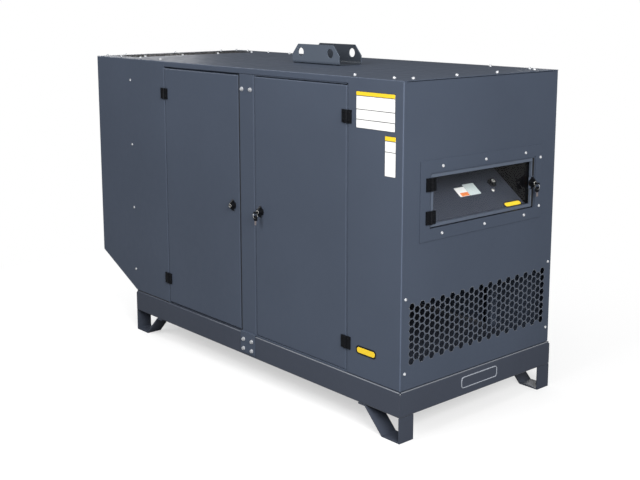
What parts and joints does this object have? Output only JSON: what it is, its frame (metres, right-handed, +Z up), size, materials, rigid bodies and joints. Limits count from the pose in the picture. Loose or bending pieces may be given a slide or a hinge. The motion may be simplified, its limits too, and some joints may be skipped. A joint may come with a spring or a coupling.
{
  "type": "gas engine generator",
  "caption": "Canopied gas engine generator on a raised base frame with hinged side doors, a glazed control cover, a honeycomb vent and a lifting bracket.",
  "frame": {"origin": "centre of the footprint's bounding box, on the floor", "axes": "+X along the length towards the control end, -Y out of the front doors, +Z up"},
  "size_m": [2.175, 0.944, 1.44],
  "materials": {
    "body_paint": "slate blue-grey fine-textured powder coat",
    "base_paint": "slate blue-grey powder coat, slightly darker",
    "black_hardware": "black moulded hinge and lock bodies",
    "grille_black": "matt black",
    "console_paint": "dark grey powder coat",
    "clear_pane": "clear polycarbonate"
  },
  "bodies": {
    "canopy": {"base_front_rail": "base_paint", "base_back_rail": "base_paint", "base_hood_end_rail": "base_paint", "base_control_end_rail": "base_paint", "base_floor": "base_paint", "foot_front_left": "base_paint", "foot_front_right": "base_paint", "foot_back_left": "base_paint", "foot_back_right": "base_paint", "front_left_panel": "body_paint", "front_center_post": "body_paint", "front_right_panel": "body_paint", "front_header": "body_paint", "back_left_panel": "body_paint", "back_center_post": "body_paint", "back_right_panel": "body_paint", "back_header": "body_paint", "back_left_door": "body_paint", "back_right_door": "body_paint", "back_hinges": "black_hardware", "back_locks": "black_hardware", "hood_end_panel": "body_paint", "hood_slope": "body_paint", "roof": "body_paint", "outlet_grille": "grille_black", "lifting_bracket": "body_paint", "end_panel": "body_paint", "vent_panel": "body_paint", "control_surround": "body_paint", "control_box": "console_paint", "control_console": "console_paint", "console_switch": "black_hardware", "left_hinge_frame_leaves": "black_hardware", "right_hinge_frame_leaves": "black_hardware", "control_hinge_frame_leaves": "black_hardware"},
    "left_front_door": {"left_door": "body_paint", "left_hinge_door_leaves": "black_hardware", "left_door_lock": "black_hardware"},
    "right_front_door": {"right_door": "body_paint", "right_hinge_door_leaves": "black_hardware", "right_door_lock": "black_hardware"},
    "control_cover": {"control_cover_frame": "body_paint", "control_cover_pane": "clear_pane", "control_hinge_cover_leaves": "black_hardware", "control_cover_lock": "black_hardware"}
  },
  "joints": [
    {"name": "left_door_hinge", "type": "hinge", "parent": "canopy", "child": "left_front_door", "pos_m": [-0.4775, -0.456, 0.765], "axis": [0, 0, -1], "range_deg": [0, 115]},
    {"name": "right_door_hinge", "type": "hinge", "parent": "canopy", "child": "right_front_door", "pos_m": [0.7685, -0.456, 0.765], "axis": [0, 0, 1], "range_deg": [0, 115]},
    {"name": "control_cover_hinge", "type": "hinge", "parent": "canopy", "child": "control_cover", "pos_m": [1.0715, -0.306, 0.906], "axis": [0, 0, -1], "range_deg": [0, 110]}
  ]
}
